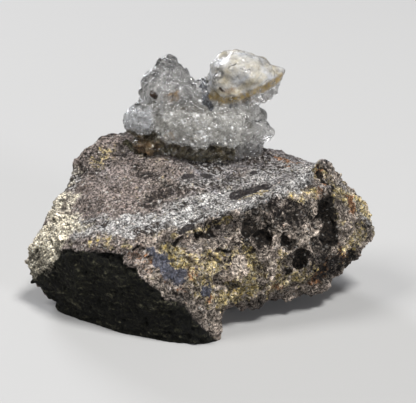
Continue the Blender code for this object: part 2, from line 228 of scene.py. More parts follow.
rockMarks = {
    # pale, yellowish crust of grains over the nose
    "crust": [
        ((-28.5, -6.5, 12.0), (-24.8, -7.0, 15.8), 4.2, 1.0),
        ((-24.3, -4.5, 17.2), (-23.0, -1.0, 19.0), 1.8, 0.6),
        ((-26.4, -2.4, 17.3), (-25.3, -0.4, 19.4), 1.6, 0.8),
        ((-25.3, -0.4, 19.4), (-23.4, 5.6, 22.4), 1.2, 0.55),
        ((-30.0, -2.0, 9.0), (-30.6, 2.0, 10.0), 3.0, 0.6),
        ((-30.5, -4.0, 8.0), (-29.0, -6.0, 11.0), 3.0, 0.7),
        ((-22.0, -9.5, 16.9), (-19.5, -10.5, 17.4), 1.3, 0.6),
    ],
    # white ash on the brow and the ledges
    "dust": [
        ((-21.0, -9.5, 17.4), (-13.0, -12.0, 18.6), 2.6, 0.8),
        ((-13.0, -12.0, 18.6), (-5.0, -11.6, 19.5), 2.6, 0.95),
        ((-5.0, -12.4, 19.4), (-0.4, -10.6, 19.9), 1.9, 0.82),
        ((-0.4, -10.6, 19.9), (9.0, -8.3, 21.7), 2.1, 0.78),
        ((9.0, -8.3, 21.7), (16.9, -4.8, 24.1), 1.8, 0.8),
        ((16.9, -4.8, 24.1), (19.3, -0.3, 25.4), 1.8, 0.9),
        ((-5.0, -8.5, 20.5), (4.0, -5.5, 21.4), 2.6, 0.7),
        ((4.0, -6.6, 21.4), (14.0, -3.2, 22.9), 1.8, 0.7),
        ((14.0, -3.0, 22.9), (20.7, 0.1, 25.2), 1.8, 0.55),
        ((-2.0, -2.0, 22.6), (9.0, -1.0, 23.0), 2.4, 0.5),
        ((9.5, 0.5, 23.3), (14.5, 2.0, 24.2), 2.6, 0.62),
    ],
    # yellow clay between the grains of the broken front
    "ochre": [
        ((-5.0, -15.6, 15.4), (-3.6, -16.4, 13.4), 1.7, 0.9),
        ((-3.6, -16.4, 13.4), (1.6, -15.8, 12.4), 2.2, 0.62),
        ((-1.0, -16.8, 11.8), (2.2, -16.3, 7.2), 2.2, 0.55),
        ((3.6, -15.4, 5.6), (8.0, -13.4, 6.6), 1.7, 0.78),
        ((4.4, -14.5, 7.3), (9.8, -13.1, 10.2), 1.8, 0.6),
        ((0.8, -15.1, 14.0), (7.8, -12.6, 14.3), 1.5, 0.56),
        ((7.8, -12.6, 14.3), (8.6, -13.4, 11.9), 1.2, 0.75),
        ((12.0, -12.0, 7.1), (21.0, -7.0, 8.2), 2.2, 0.58),
        ((13.9, -12.0, 12.5), (13.4, -11.4, 10.6), 1.3, 0.5),
        ((20.6, 0.2, 23.8), (24.6, -0.6, 20.4), 1.7, 0.66),
        ((24.6, -0.6, 20.4), (27.2, 1.0, 17.8), 1.6, 0.66),
        ((22.8, -2.6, 20.6), (24.4, -3.0, 15.5), 1.2, 0.56),
        ((25.8, -3.4, 9.5), (28.6, 0.0, 12.8), 2.4, 0.56),
        ((15.4, -6.8, 21.4), (20.0, -4.4, 22.0), 1.2, 0.5),
        ((6.4, -5.9, 21.1), (12.0, -3.6, 22.1), 0.9, 0.75),
        ((-6.5, -14.0, 17.3), (5.0, -11.0, 18.6), 0.9, 0.6),
        ((-19.5, 6.2, 24.0), (-17.2, 9.0, 24.8), 2.0, 0.46),
        ((-17.5, -14.2, 16.0), (-12.5, -15.6, 16.2), 1.4, 0.5),
        ((24.5, 3.0, 8.0), (29.0, 6.0, 12.0), 3.4, 0.45),
        ((-6.0, 17.0, 10.0), (6.0, 18.0, 14.0), 4.0, 0.45),
    ],
    "rust": [
        ((14.3, 7.0, 24.4), (16.8, 5.6, 24.1), 1.3, 0.75),
        ((15.4, 4.0, 23.9), (15.8, 3.8, 23.9), 0.7, 0.7),
        ((27.1, 1.2, 18.5), (27.2, 0.1, 17.4), 1.0, 0.95),
        ((21.1, 0.0, 24.0), (22.0, -1.2, 22.4), 1.0, 0.7),
        ((21.2, -3.8, 21.6), (22.0, -4.2, 19.6), 1.2, 0.5),
        ((-11.5, -16.6, 15.2), (-7.5, -17.8, 13.0), 1.2, 0.5),
        ((-7.6, -18.2, 12.5), (-2.8, -18.2, 9.7), 0.8, 0.36),
        ((-2.5, -17.0, 12.6), (-1.5, -17.2, 11.4), 1.2, 0.5),
        ((1.4, -16.8, 7.4), (1.9, -16.6, 6.6), 0.8, 0.7),
        ((20.0, -7.8, 6.6), (22.6, -6.8, 9.6), 1.3, 0.7),
        ((12.6, -11.0, 6.4), (13.4, -10.8, 5.8), 0.9, 0.7),
        ((24.6, -4.4, 10.6), (26.2, -3.0, 8.4), 1.4, 0.62),
        ((12.0, 14.0, 15.0), (16.0, 12.0, 12.0), 2.2, 0.45),
    ],
    # smooth blue-grey mineral skins
    "slate": [
        ((-8.2, -16.6, 15.7), (-6.6, -17.0, 14.2), 1.1, 0.9),
        ((-6.6, -17.0, 14.0), (-4.2, -17.5, 11.4), 1.5, 0.95),
        ((0.7, -17.1, 8.8), (1.6, -16.9, 8.3), 1.1, 0.85),
    ],
    # dark, flattened gas bubbles and fiamme
    "lens": [
        ((5.4, -4.7, 21.5), (8.6, -3.9, 22.0), 0.8, 1.0),
        ((8.6, -3.9, 22.0), (11.6, -2.1, 22.5), 0.6, 1.0),
        ((9.9, -6.8, 21.7), (10.9, -7.2, 21.8), 0.7, 0.9),
        ((-3.6, -13.6, 17.9), (-2.0, -12.2, 18.8), 0.6, 0.9),
        ((-2.0, -12.2, 18.8), (-0.4, -10.4, 19.9), 0.3, 0.8),
        ((-3.0, -0.5, 23.5), (-2.0, -0.2, 23.5), 0.7, 0.85),
        ((0.5, 0.6, 23.2), (1.1, 0.8, 23.2), 0.8, 0.8),
        ((8.6, 1.1, 23.5), (9.2, 1.4, 23.5), 0.55, 0.9),
    ],
    # clusters of dark flecks; on the right half of the front they also stand for painted shade
    "fleck": [
        ((-9.0, -6.0, 21.2), (-6.2, -3.6, 21.9), 2.4, 0.66),
        ((-6.5, -4.2, 21.8), (-3.0, -3.6, 22.2), 1.3, 0.6),
        ((-11.5, 2.0, 23.4), (-8.0, -0.4, 23.0), 1.8, 0.6),
        ((-14.0, 6.0, 24.5), (-19.5, 7.5, 24.4), 2.6, 0.45),
        ((-20.8, -9.2, 17.6), (-16.5, -10.2, 18.5), 1.4, 0.6),
        ((-10.2, -13.6, 18.3), (-8.4, -13.0, 18.9), 1.5, 0.62),
        ((-4.0, -8.6, 20.6), (-2.4, -7.4, 20.9), 1.2, 0.5),
        ((-1.0, -3.0, 22.5), (7.0, 0.0, 23.2), 2.6, 0.4),
        ((11.0, 3.5, 24.0), (14.0, 2.5, 24.2), 2.4, 0.4),
        ((0.0, -11.5, 18.6), (12.0, -8.5, 19.0), 2.2, 0.45),
        ((-15.0, -16.0, 15.0), (-3.0, -19.0, 8.0), 1.6, 0.4),
        ((4.0, -13.2, 14.0), (10.0, -11.5, 16.5), 2.6, 0.5),
        ((25.0, 0.0, 10.0), (28.5, 1.5, 14.0), 2.2, 0.55),
        ((12.0, -9.0, 20.0), (17.0, -8.0, 19.0), 3.0, 0.62),
        ((21.0, -8.0, 9.0), (28.0, -2.0, 8.0), 2.8, 0.66),
        ((16.0, -9.6, 13.0), (21.0, -7.0, 11.0), 2.4, 0.6),
    ],
    # hollow places in the broken front, painted black as shade
    "dark": [
        ((21.9, -3.4, 19.4), (22.8, -3.5, 15.6), 2.3, 1.0),
        ((22.8, -3.8, 15.6), (22.8, -5.2, 13.6), 2.1, 1.0),
        ((19.9, -6.7, 17.2), (22.0, -4.6, 16.0), 1.4, 0.8),
        ((21.9, 0.2, 23.2), (23.0, -0.4, 22.0), 1.2, 1.0),
        ((7.6, -10.9, 17.4), (10.6, -10.4, 16.0), 1.2, 0.8),
        ((8.1, -12.8, 14.6), (9.4, -12.6, 13.8), 1.0, 0.5),
        ((13.9, -11.0, 15.2), (15.2, -10.7, 14.2), 1.1, 0.85),
        ((17.5, -10.3, 12.4), (16.9, -9.4, 9.8), 1.0, 0.85),
        ((14.6, -10.5, 9.6), (14.7, -10.4, 8.6), 0.8, 0.9),
        ((10.2, -8.0, 21.2), (11.4, -8.2, 20.4), 1.0, 0.8),
        ((13.0, -9.6, 19.6), (16.6, -8.6, 18.6), 1.0, 0.62),
        ((11.6, -10.4, 18.2), (12.6, -10.8, 16.6), 0.8, 0.7),
        ((18.0, -7.8, 20.0), (18.8, -7.6, 18.2), 0.8, 0.62),
        ((16.0, -9.8, 14.5), (21.0, -7.0, 12.0), 2.4, 0.5),
        ((2.3, -15.4, 10.8), (3.4, -14.4, 9.0), 0.5, 0.8),
        ((3.6, -14.2, 8.8), (5.4, -14.1, 8.3), 0.4, 0.7),
        ((-10.5, -16.7, 15.8), (-10.3, -16.7, 15.6), 0.55, 1.0),
        ((-15.9, -16.6, 14.7), (-15.6, -16.6, 14.5), 0.7, 0.9),
        ((22.0, -7.0, 7.0), (28.0, -2.0, 6.4), 2.6, 0.42),
    ],
    # narrow cracks under the brow, painted black as their shadow
    "crack": [
        ((-4.2, -14.8, 16.3), (-1.0, -12.9, 17.0), 0.42, 1.0),
        ((-1.0, -12.9, 17.0), (3.0, -12.3, 17.6), 0.5, 0.8),
        ((2.5, -14.8, 15.1), (5.2, -14.1, 14.7), 0.38, 0.9),
        ((7.6, -11.3, 16.9), (11.0, -10.8, 16.0), 0.55, 0.9),
    ],
    # a rounded lump of grains
    "boss": [
        ((5.2, -14.9, 12.0), (6.3, -14.9, 11.4), 2.1, 1.0),
        ((4.3, -14.0, 10.0), (5.6, -14.2, 10.2), 1.2, 0.8),
    ],
    # an olive-dark patch on the rock just below the opal's lobe
    "olivePatch": [
        ((-13.6, 9.4, 26.3), (-11.8, 8.2, 26.0), 1.3, 0.95),
        ((-11.8, 8.2, 26.0), (-10.4, 6.2, 25.4), 0.9, 0.8),
    ],
    # places painted darker than the rest as shade: the right end, the lower right, the toe and the foot of
    # the nose
    "dull": [
        ((26.5, -1.8, 16.5), (29.5, 0.5, 11.5), 3.4, 0.8),
        ((21.0, -8.6, 8.0), (29.0, -1.0, 7.0), 3.4, 1.0),
        ((0.5, -19.4, 4.0), (1.8, -19.0, 0.0), 1.8, 0.8),
        ((-31.0, -4.0, 8.0), (-28.6, -8.4, 9.6), 3.0, 1.0),
    ],
    # the lowest left corner of the front, painted dark as shade like the left face
    "heel": [
        ((-4.4, -19.4, 6.8), (0.4, -19.6, 1.2), 1.4, 1.0),
        ((0.4, -19.6, 1.2), (1.8, -19.2, -0.4), 1.2, 1.0),
    ],
    # a hang-over of the lower edge, worn away
    "nub": [
        ((9.0, -12.8, 3.2), (10.6, -12.6, 3.4), 1.6, 1.0),
    ],
}
# raised by so many millimetres, or sunk where it is below zero
markHeights = {"lens": -0.25, "dark": -0.5, "crack": -0.5, "slate": -0.15, "boss": 0.6, "nub": -0.9}
# how ragged the outline of a mark is, against 1 for the rest
driftShare = {"lens": 0.35, "slate": 0.8, "crack": 0.35, "boss": 0.4, "heel": 0.5}


def growRock():
    shape, zone = rockShape, rockZones
    rock = copyOfNode("matrix_rock", "tuff_block")
    applyModifier(rock, "REMESH", mode="VOXEL", voxel_size=shape["voxel"] * mm)
    applyModifier(rock, "SMOOTH", factor=0.5, iterations=shape["smoothing"])
    points, normals = pointsOf(rock)
    x, y, z = points.T
    drift = eachPoint(points, lambda p: wander(p, (1.9, 1.3), (0.8, 0.6)))
    masks = {
        name: markMask(points + drift * driftShare.get(name, 1), marks)
        for name, marks in rockMarks.items()
    }
    soft = soften(rock, normals.astype(float), shape["facingRounds"])
    soft = soft / np.linalg.norm(soft, axis=1)[:, None] + 0.15 * drift
    # the lower-left face turns away from the light: its mask carries painted shade over its own olive-grey
    facing = soft @ np.array(shadeDirection)
    upward = smoothStep(soft[:, 2], *zone["upward"])
    shade = smoothStep(facing, *zone["shade"]) * (1 - smoothStep(x, *zone["shadeEnd"]))
    shade = np.maximum(shade, masks.pop("heel"))
    front = smoothStep(-soft[:, 1], *zone["frontFacing"]) * smoothStep(x, *zone["frontStart"])
    front = np.maximum(front, smoothStep(soft[:, 0], *zone["sideFacing"]))
    front = np.maximum(front, smoothStep(soft[:, 1], *zone["sideFacing"])) * (1 - shade)
    edge = smoothStep(facing, *zone["edge"]) * (1 - smoothStep(facing, *zone["edgeEnd"]))
    brow = 4 * front * (1 - front) * smoothStep(x, *zone["browStart"])
    # painted shade: darker towards the bottom
    low = 1 - smoothStep(z + 2 * drift[:, 0], *zone["low"])
    behind = smoothStep(y + drift[:, 1], *zone["behind"])
    patch = eachPoint(points, lambda p: noise.noise(p / 8))
    otherPatch = eachPoint(points, lambda p: noise.noise(p / 7 + Vector((5, 9, 3))))
    flat = points / (shape["streakSize"], shape["streakSize"], shape["streakHeight"])
    streaks = eachPoint(flat, lambda p: noise.turbulence(p, 3, True))
    masks["dust"] = np.maximum(masks["dust"], smoothStep(patch, 0.0, 0.45) * behind * 0.75)
    masks["ochre"] = np.maximum(masks["ochre"], smoothStep(otherPatch, 0.0, 0.4) * behind * front * 0.7)
    masks["fleck"] = np.maximum(masks["fleck"], smoothStep(-otherPatch, 0.1, 0.4) * behind * 0.6)
    masks.update(shade=shade, front=front, grey=smoothStep(x, *zone["grey"]) * upward)
    masks["streak"] = smoothStep(streaks, 0.35, 0.95) * shade

    size = {name[:-4]: value for name, value in shape.items() if name.endswith("Size")}
    swell = eachPoint(points, lambda p: noise.noise(p / size["swell"]))
    crag = eachPoint(points, lambda p: noise.ridged_multi_fractal(p / size["crag"], *cragRidges) - 1.4)
    lumps = eachPoint(points, lambda p: facet(p + wander(p, (2.2, 0.9)), size["lump"])) - flatMean
    crumbs = eachPoint(points, lambda p: facet(p + wander(p, (0.9, 0.4)), size["crumb"])) - flatMean
    grains = eachPoint(points, lambda p: facet(p, size["grain"]))
    grit = eachPoint(points, lambda p: noise.noise(p / size["grit"])) + 0.8 * grains - 0.45
    worms = eachPoint(points, lambda p: 0.5 - abs(noise.noise(p / size["crust"])) * 3.2)
    holes = eachPoint(points + 0.6 * drift, lambda p: pocket(p, size["pocket"], shape["pocketShare"]))
    frayed = eachPoint(points, lambda p: noise.noise(p / size["fray"]))
    ragged = eachPoint(points, lambda p: noise.noise(p / size["edge"])) + 0.6 * frayed

    quiet = np.maximum(masks["lens"], masks["slate"])
    heights = sum(height * masks[name] for name, height in markHeights.items())
    rough = shape["topShare"] + (1 - shape["topShare"]) * front
    rough = np.maximum.reduce([rough, shape["shadeShare"] * shade, shape["darkShare"] * masks["dark"]])
    relief = shape["swell"] * swell * (0.4 + 0.6 * np.maximum(front, shade))
    relief += (shape["lump"] * lumps + shape["crumb"] * crumbs + shape["crag"] * crag) * rough
    relief += shape["grit"] * grit * (0.75 + 0.25 * front) * (1 - 0.3 * shade)
    relief += shape["streak"] * (streaks - 0.6) * shade + shape["edge"] * (ragged - 0.25) * edge
    relief += shape["crust"] * np.clip(worms, -0.6, 0.5) * masks["crust"]
    relief -= shape["pocket"] * holes * rough * (1 - masks["crust"]) * (1 - shade)
    relief *= 1 - 0.8 * quiet
    relief -= shape["brow"] * np.clip(ragged + 0.1, 0, 1) * brow
    relief = np.clip(relief, shape["least"], shape["most"]) + heights
    # the cracks' painted shadow joins the hollows' painted shade
    masks["dark"] = np.maximum(masks["dark"], masks.pop("crack"))
    # the dull places join the painted shade along the bottom
    masks["low"] = np.maximum(low, masks.pop("dull"))
    masks["coarse"] = np.maximum(front, masks["crust"])
    masks = {name: values for name, values in masks.items() if name not in ("boss", "nub")}

    # the rock is quieter beside the opal, whose foot has to meet it
    graph = bpy.context.evaluated_depsgraph_get()
    opalTree = BVHTree.FromObject(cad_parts["hyalite_opal"], graph)
    fromOpal = eachPoint(points, lambda p: (opalTree.find_nearest(p * mm)[3] or 1) / mm)
    relief *= smoothStep(z, *zone["foot"]) * (0.35 + 0.65 * smoothStep(fromOpal, *zone["nearOpal"]))
    placePoints(rock, points + normals * relief[:, None])
    masks["relief"] = relief
    for name, values in masks.items():
        storeMask(rock, name, values)
    rock.data.shade_smooth()
    print("rock:", sum(len(p.vertices) - 2 for p in rock.data.polygons), "triangles")
    return rock


tuffLook = {
    "grey": "#959497", "mauve": "#998f8a", "brown": "#c6b9aa", "pinkish": "#9a887f",
    "tan": "#8d7b6a", "crystal": "#d9d5cd", "fleck": "#2d2a29",
    # brightness between the grains and on them, partly painted shade in the gaps and painted light on the
    # tips, and of the darkest and palest grain
    "gap": 0.02, "tip": 1.6, "dull": 0.33, "pale": 1.58,
    "frontGap": 0.15, "frontTip": 2.1, "frontDull": 0.3, "frontPale": 1.9,
    "patches": (0.78, 1.14),  # brightness of broad patches
    "paintedReliefShading": (-0.8, 0.35, 0.3, 1.3),  # painted shade in the hollows and painted light on the high places: from this depth to this height in mm, from this brightness to this
    "foot": 0.66,  # brightness of the painted shade along the bottom and on the dull places
    "skin": 0.42,  # how much of the grain a smooth mineral skin hides
    "grainSize": 0.4, "stirSize": 0.9, "stir": 0.8,  # mm
    "crystalShare": (0.93, 0.95), "fleckShare": (0.07, 0.05),  # six grains in a hundred are either
    "roughness": 0.93, "specular": 0.3, "bump": 0.9, "bumpHeight": 0.16,  # height in mm
}
tuffClouds = {
    # size in mm, detail, roughness
    "broad": (6, 4, 0.6), "patch": (3.1, 5, 0.65), "soft": (1.6, 4, 0.6),
    "fine": (0.7, 2, 0.6), "grit": (0.34, 3, 0.65),
}
tuffStainsAndShade = [
    # mask, colour, other colour, size of its patches in mm, how far they scatter, softness
    ("dust", "#dddbd8", "#c1bfbc", 1.6, 0.9, 0.5),
    ("ochre", "#d6ba62", "#d2c9b2", 1.2, 1.1, 0.4),
    ("rust", "#a87248", "#8d6e56", 0.8, 1.1, 0.4),
    ("fleck", "#443f3f", "#2d2929", 0.7, 1.2, 0.25),
    ("olivePatch", "#5b5840", "#3a3829", 0.9, 0.8, 0.4),
    # painted shade: the lower-left face's own olive-grey painted almost black, with olive streaks over it
    ("shade", "#2b2a1d", "#080806", 1.3, 0.5, 0.5),
    ("streak", "#565341", "#35342a", 0.5, 1.0, 0.5),
    ("crust", "#fbf3df", "#c9bea6", 1.2, 0.6, 0.45),
    ("slate", "#6d707c", "#494b57", 0.7, 0.8, 0.3),
    ("lens", "#4a4748", "#383537", 0.8, 0.35, 0.2),
    # painted shade: the hollows and cracks of the front, painted black
    ("dark", "#0e0d0c", "#231f1a", 1.0, 0.6, 0.3),
]


def makeTuff():
    # volcanic tuff, broken and never polished: dull and gritty, ash-pale grains with dark gaps between
    look = tuffLook
    material, tree, shader = newMaterial("volcanic tuff")
    place = addNode(tree, "TexCoord", output="Object")
    maskOf = {
        name: addNode(tree, "Attribute", output="Fac", attribute_name=name)
        for name in ["front", "coarse", "grey", "low", "relief"] + [stainOrShade[0] for stainOrShade in tuffStainsAndShade]
    }
    # every pattern is drawn on a slightly stirred place, so that nothing shows round cells
    inputs = {"Vector": place, "Scale": perMm(look["stirSize"]), "Detail": 2}
    stir = addNode(tree, "TexNoise", inputs, "Color")
    offset = addNode(tree, "VectorMath", (stir, (0.5, 0.5, 0.5)), operation="SUBTRACT")
    inputs = (offset, (look["stir"] * mm,) * 3, place)
    stirred = addNode(tree, "VectorMath", inputs, operation="MULTIPLY_ADD")
    sizes = dict(tuffClouds)
    sizes.update({stainOrShade[0]: (stainOrShade[3], 6, 0.7) for stainOrShade in tuffStainsAndShade})
    cloud = {}
    for name, (size, detail, rough) in sizes.items():
        inputs = {"Vector": stirred, "Scale": perMm(size), "Detail": detail, "Roughness": rough}
        cloud[name] = addNode(tree, "MapRange", (addNode(tree, "TexNoise", inputs), *noiseSpan))

    toned = addNode(tree, "Math", (cloud["broad"], 0.5, maskOf["grey"]), operation="MULTIPLY_ADD")
    browned = addNode(tree, "MapRange", (cloud["broad"], 0.0, 0.6, 0.5, 1.0))
    brown = addNode(tree, "Math", (maskOf["front"], browned), operation="MULTIPLY")
    pinkish = addNode(tree, "Math", (cloud["soft"], 0.5), operation="MULTIPLY")
    layers = [
        # share of the layer, its colour, how it is laid on
        (addNode(tree, "MapRange", (toned, 0.3, 1.0)), linear(look["grey"]), "MIX"),
        (brown, linear(look["brown"]), "MIX"),
        (pinkish, linear(look["pinkish"]), "MIX"),
    ]
    skins = []
    for name, first, second, size, scatter, softness in tuffStainsAndShade:
        reach = addNode(tree, "Math", (cloud[name], scatter, maskOf[name]), operation="MULTIPLY_ADD")
        middle = 0.5 + scatter / 2
        cover = addNode(tree, "MapRange", (reach, middle - softness / 2, middle + softness / 2))
        inputs = {0: cloud["fine"], 6: linear(first), 7: linear(second)}
        stainOrShade = addNode(tree, "Mix", inputs, 2, data_type="RGBA")
        layers.append((cover, stainOrShade, "MIX"))
        if name in ("slate", "lens"):
            # a smooth skin hides most of the grain under it
            skins.append((addNode(tree, "Math", (cover, look["skin"]), operation="MULTIPLY"), stainOrShade, "MIX"))

    # single mineral grains, each with its own tone, with painted light on their tips and painted shade
    # between
    grain = addNode(tree, "TexVoronoi", {"Vector": stirred, "Scale": perMm(look["grainSize"])}, "Distance")
    tone = addNode(tree, "SeparateColor", (grain.node.outputs["Color"],)).node.outputs
    brightness = []
    for value, low, high, ends in [
        (tone[0], 0.0, 1.0, ("dull", "pale", "frontDull", "frontPale")),
        (cloud["grit"], 0.12, 0.88, ("gap", "tip", "frontGap", "frontTip")),
    ]:
        ends = [look[end] for end in ends]
        onTop = addNode(tree, "MapRange", (value, low, high, *ends[:2]))
        onFront = addNode(tree, "MapRange", (value, low, high, *ends[2:]))
        brightness.append(addNode(tree, "Mix", {0: maskOf["coarse"], 2: onTop, 3: onFront}))
    # the face of painted shade shows no grains of other colours, and a grain's colour stays off its rim
    grainsOutOfShade = addNode(tree, "MapRange", (maskOf["shade"], 0.0, 0.6, 0.8, 0.0))
    inner = addNode(tree, "MapRange", (grain, 0.6, 0.35, 0.0, grainsOutOfShade))
    crystals, flecks = look["crystalShare"], look["fleckShare"]
    layers += [
        (1.0, brightness[0], "MULTIPLY"),
        (addNode(tree, "MapRange", (tone[1], 0.0, 3.0, 0.0, grainsOutOfShade)), linear(look["tan"]), "MIX"),
        (1.0, brightness[1], "MULTIPLY"),
        (addNode(tree, "MapRange", (tone[2], *crystals, 0.0, inner)), linear(look["crystal"]), "MIX"),
        (addNode(tree, "MapRange", (tone[2], *flecks, 0.0, inner)), linear(look["fleck"]), "MIX"),
        *skins,
        # broad patches, then painted shade in the hollows and painted light on the high places, then
        # painted shade along the bottom and on the dull places
        (1.0, addNode(tree, "MapRange", (cloud["patch"], 0.1, 0.9, *look["patches"])), "MULTIPLY"),
        (1.0, addNode(tree, "MapRange", (maskOf["relief"], *look["paintedReliefShading"])), "MULTIPLY"),
        (1.0, addNode(tree, "MapRange", (maskOf["low"], 0.0, 1.0, 1.0, look["foot"])), "MULTIPLY"),
    ]
    colour = linear(look["mauve"])
    for share, layer, kind in layers:
        colour = addNode(tree, "Mix", {0: share, 6: colour, 7: layer}, 2, data_type="RGBA", blend_type=kind)
    tree.links.new(colour, shader.inputs["Base Color"])
    shader.inputs["Roughness"].default_value = look["roughness"]
    shader.inputs["Specular IOR Level"].default_value = look["specular"]

    height = addNode(tree, "Math", (grain, -0.8, cloud["grit"]), operation="MULTIPLY_ADD")
    inputs = {"Height": height, "Strength": look["bump"], "Distance": look["bumpHeight"] * mm}
    bump = addNode(tree, "Bump", inputs)
    tree.links.new(bump, shader.inputs["Normal"])
    return material


# The opal

opalShape = {
    "voxel": 0.165,
    "smoothing": 5,
    "sunk": 0.45,  # how far its underside goes into the rock it grew from
    "bead": 0.55, "beadSize": 1.4,
    "pearl": 0.24, "pearlSize": 0.75,
    "sugar": 0.40, "sugarSize": 0.85,
    "facet": 0.75, "facetSize": 2.0,
    "frost": 0.2, "frostSize": 0.55,
    "swell": 0.62, "swellSize": 2.6,  # soft dents in the dome of the knob
    "lump": 0.55, "lumpSize": 2.4,
    "wobble": 0.12, "wobbleSize": 1.6,
    "seam": 0.6,
    "most": 0.32, "domeMost": 0.2, "least": -0.6,
    "rimHeight": 35.2, "rimSlope": 0.36, "rimStart": 4,  # the milky dome's lower edge rises to the right
    "padHeight": 27.6, "padRise": 1.9,  # the brown pad under the glass reaches higher on the left
}
# from where to where each zone fades in, in mm
opalZones = {
    "knobSide": (0.3, 1.6), "knobFoot": (33.8, 34.8), "dome": (-0.6, 1.4),
    "warmEnd": (1.2, 3.8), "tip": (10.0, 12.0),
    "clearSide": (7.2, 8.6), "clearTop": (32.0, 33.4), "skirtTop": (33.0, 34.6),
    "lobeSide": (8.2, 9.6), "lobeFoot": (28.2, 29.4), "lobeTop": (33.4, 34.6),
    "padLeft": (-9, -5), "padTop": (-0.5, 0.5), "padEnd": (5.4, 7.2),
}
knobRim = [
    (1.9, 9.4, 35.4), (3.5, 7.7, 35.0), (6.0, 6.2, 35.5), (7.8, 6.2, 36.1), (9.4, 6.6, 36.7),
    (11.2, 7.3, 37.4), (12.8, 7.7, 38.1), (14.1, 9.1, 38.9),
]
opalMarks = {
    "tan": [
        ((-5.9, 7.3, 35.7), (-4.7, 7.3, 36.0), 1.5, 0.8),
        ((-8.6, 6.0, 28.2), (-5.5, 3.4, 29.3), 1.0, 0.7),
        ((-10.0, 10.9, 41.2), (-9.2, 10.7, 40.5), 0.9, 0.9),
        ((2.6, 8.0, 35.6), (5.0, 6.6, 35.8), 1.1, 0.55),
        ((7.0, 6.2, 35.0), (11.0, 7.4, 34.5), 1.1, 0.6),
        ((-9.4, 4.6, 26.6), (-11.3, 5.9, 27.3), 2.2, 0.8),
        ((3.5, 6.5, 37.2), (6.4, 6.0, 37.0), 1.1, 0.66),
        ((-2.0, 12.5, 36.5), (3.0, 13.0, 38.0), 1.6, 0.4),
    ],
    "brown": [
        ((3.2, 6.5, 37.5), (3.6, 6.5, 37.1), 0.6, 0.95),
        ((-8.9, 7.7, 36.3), (-8.5, 7.8, 35.8), 0.62, 1.0),
        ((-7.1, 7.2, 36.2), (-7.1, 7.2, 36.0), 0.2, 0.8),
        ((-5.5, 7.4, 35.9), (-5.4, 7.4, 35.7), 0.22, 0.8),
        ((-8.0, 6.7, 34.3), (-8.0, 6.7, 34.1), 0.22, 0.9),
        ((-4.0, 6.9, 33.9), (-4.0, 6.9, 33.6), 0.22, 0.9),
    ],
    # the crease round the lobe
    "seam": [
        ((-8.1, 5.7, 33.9), (-8.1, 5.3, 31.9), 0.4, 1.0),
        ((-8.1, 5.3, 31.9), (-8.0, 4.7, 29.7), 0.4, 1.0),
        ((-8.1, 5.6, 33.0), (-9.9, 5.8, 33.9), 0.4, 0.9),
        ((-9.9, 5.8, 33.9), (-11.4, 6.5, 34.4), 0.4, 0.8),
        ((-11.4, 6.5, 34.4), (-12.8, 8.0, 34.0), 0.4, 0.8),
    ],
    "smoke": [
        ((0.6, 8.4, 35.8), (1.3, 7.9, 33.6), 1.1, 1.0),
        ((0.1, 10.6, 37.6), (0.4, 9.4, 36.6), 1.0, 0.9),
        ((-9.6, 9.6, 38.8), (-8.4, 9.4, 39.2), 0.9, 0.85),
        ((7.4, 6.4, 34.9), (8.4, 6.6, 35.2), 0.8, 0.85),
        ((5.2, 6.8, 34.3), (6.0, 6.6, 34.4), 0.7, 0.8),
        ((2.9, 7.2, 40.3), (2.3, 7.6, 38.8), 1.4, 0.74),
        ((7.0, 6.0, 41.4), (7.8, 6.0, 40.8), 1.0, 0.62),
        ((4.5, 6.6, 41.1), (4.6, 6.6, 41.1), 0.35, 0.8),
        ((5.2, 6.8, 41.6), (5.4, 6.8, 41.5), 0.45, 0.8),
        ((5.9, 6.8, 41.8), (6.0, 6.8, 41.8), 0.35, 0.8),
        ((-3.0, 7.6, 35.2), (-2.0, 7.4, 33.8), 0.8, 0.6),
    ],
}
bubbles = [
    # centre and radius of single round bubbles that stand out of the rest
    # on the brown pad
    ((-9.3, 5.3, 26.3), 1.05), ((-11.2, 6.2, 27.1), 0.95), ((-10.6, 6.0, 28.5), 0.8),
    ((-8.2, 5.2, 28.2), 0.85), ((-6.4, 4.8, 28.2), 0.8), ((-7.2, 4.6, 26.8), 0.85),
    ((-12.6, 8.0, 26.4), 1.0), ((-10.3, 5.4, 25.6), 0.7),
    # in the saddle and up the tower
    ((0.9, 9.3, 35.4), 0.95), ((1.3, 9.1, 34.0), 0.8), ((0.3, 10.5, 36.8), 1.0),
    ((-5.1, 8.6, 37.5), 0.9), ((-8.6, 9.6, 38.9), 1.2), ((-9.2, 11.6, 40.7), 1.1),
    ((-7.7, 11.6, 41.0), 1.0), ((-6.1, 11.4, 40.9), 1.05),
    # under the knob and on it
    ((7.9, 7.0, 34.9), 0.8), ((9.8, 7.6, 35.2), 0.7),
    ((5.3, 10.0, 41.9), 1.25), ((9.4, 9.5, 41.5), 1.25), ((11.5, 8.9, 40.2), 1.15),
    ((2.9, 8.8, 40.4), 1.1),
]


